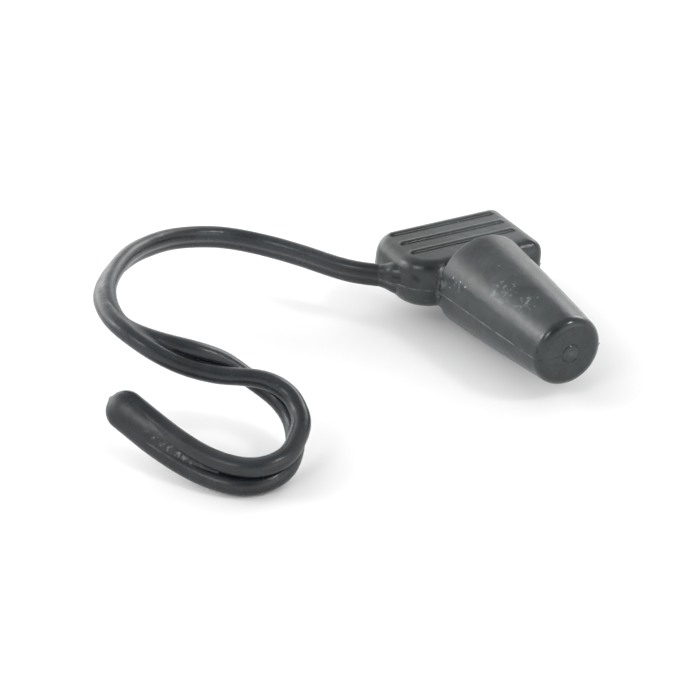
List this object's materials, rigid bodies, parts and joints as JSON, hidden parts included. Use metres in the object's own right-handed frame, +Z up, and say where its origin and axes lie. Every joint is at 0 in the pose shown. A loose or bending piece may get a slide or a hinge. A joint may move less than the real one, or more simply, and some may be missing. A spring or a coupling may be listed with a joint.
{
  "type": "vibration dampener with bendable tail",
  "caption": "Black rubber vibration dampener: tapered barrel with ribbed grip tab and a doubled, shape-holding wire-cored tail bent into a hook.",
  "frame": {"origin": "centre of the whole outline in plan, on the surface the object lies on", "axes": "+X along the grip ribs, away from the tail; -Y out of the barrel's end face; +Z up"},
  "size_m": [0.0602, 0.0454, 0.0131],
  "materials": {
    "head_rubber": "satin",
    "cord_rubber": "satin",
    "core_steel": "drawn wire"
  },
  "bodies": {
    "head": {"head_moulding": "head_rubber", "cord_root": "cord_rubber", "wire_root": "core_steel"},
    "arm": {"cord_arm": "cord_rubber", "wire_arm": "core_steel"},
    "hook": {"cord_hook": "cord_rubber", "wire_hook": "core_steel"}
  },
  "joints": [
    {"name": "tail_root_flex", "type": "hinge", "parent": "head", "child": "arm", "pos_m": [0.00636, 0.00994, 0.0064], "axis": [0, 0, 1], "range_deg": [-20, 25]},
    {"name": "tail_bend_flex", "type": "hinge", "parent": "arm", "child": "hook", "pos_m": [-0.02504, 0.00644, 0.0119], "axis": [0, 0, 1], "range_deg": [-20, 25]}
  ]
}
